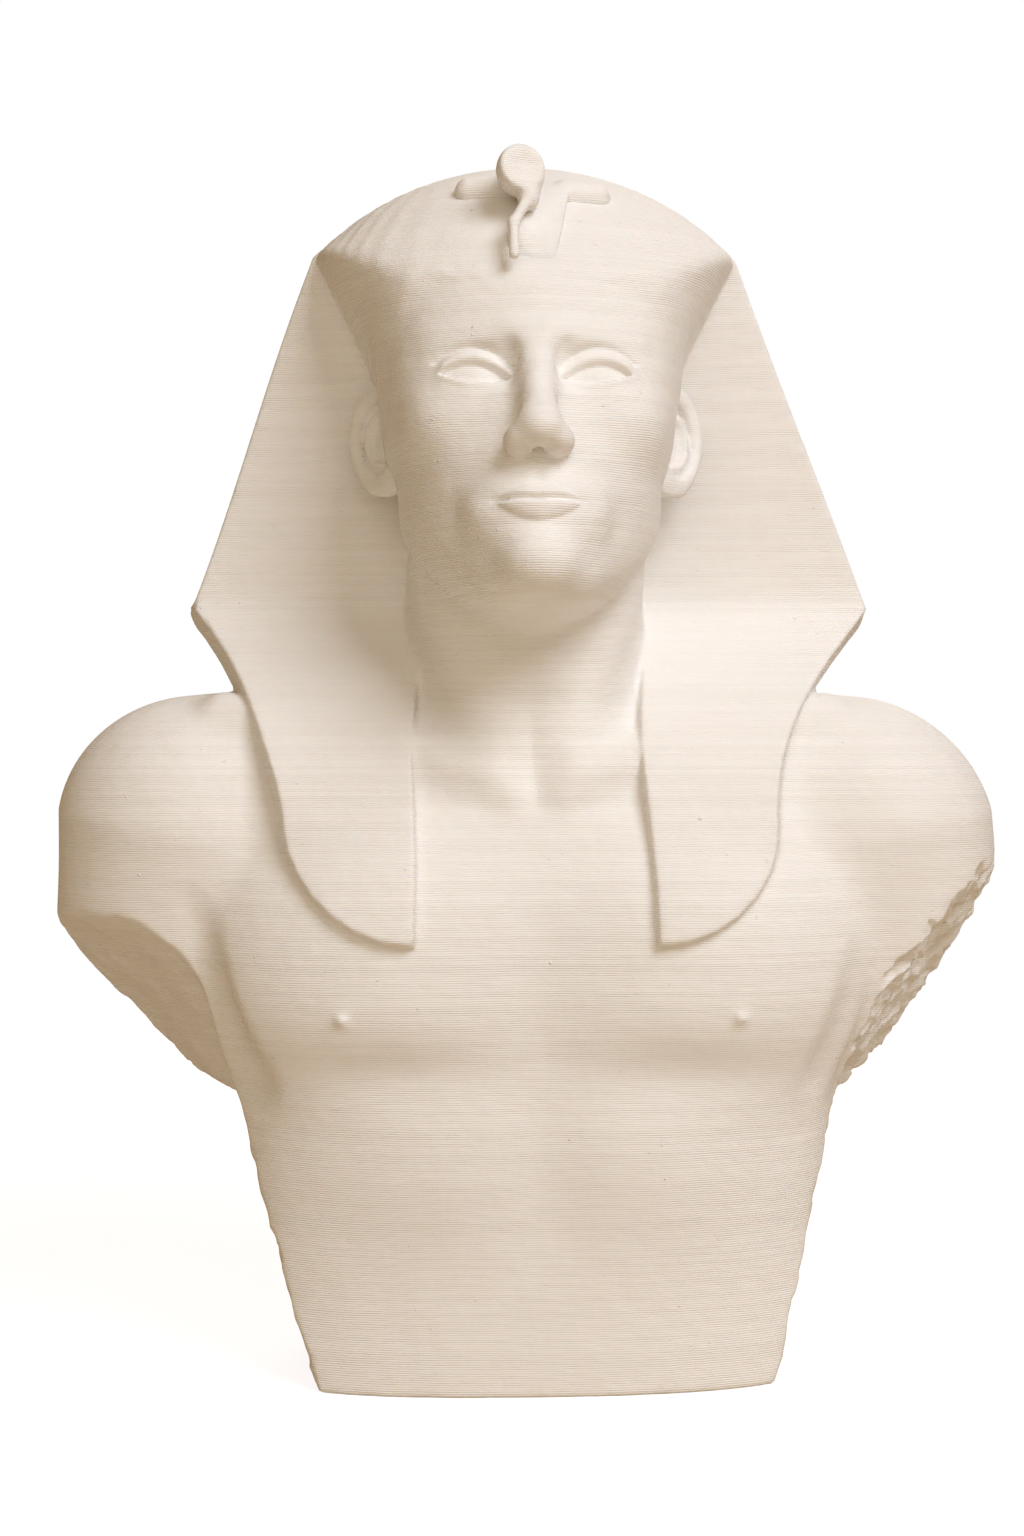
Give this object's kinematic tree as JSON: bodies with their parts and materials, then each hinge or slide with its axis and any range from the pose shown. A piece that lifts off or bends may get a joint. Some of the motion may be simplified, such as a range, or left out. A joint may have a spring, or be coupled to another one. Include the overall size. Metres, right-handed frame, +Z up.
{
  "type": "pharaoh bust",
  "caption": "Desk-size printed bust of a pharaoh in a lappeted headcloth with a brow cobra; broken arms, flat underside to stand on.",
  "frame": {"origin": "middle of the outer box's footprint, on the surface that the bust stands on", "axes": "+Z up from the underside to the crown, -Y the way the face looks, +X to the viewer's right"},
  "size_m": [0.133, 0.0698, 0.168],
  "materials": {
    "ivory_print": "matte ivory plastic with fine level print layers"
  },
  "bodies": {
    "root": {"pharaoh_bust": "ivory_print"}
  },
  "joints": []
}
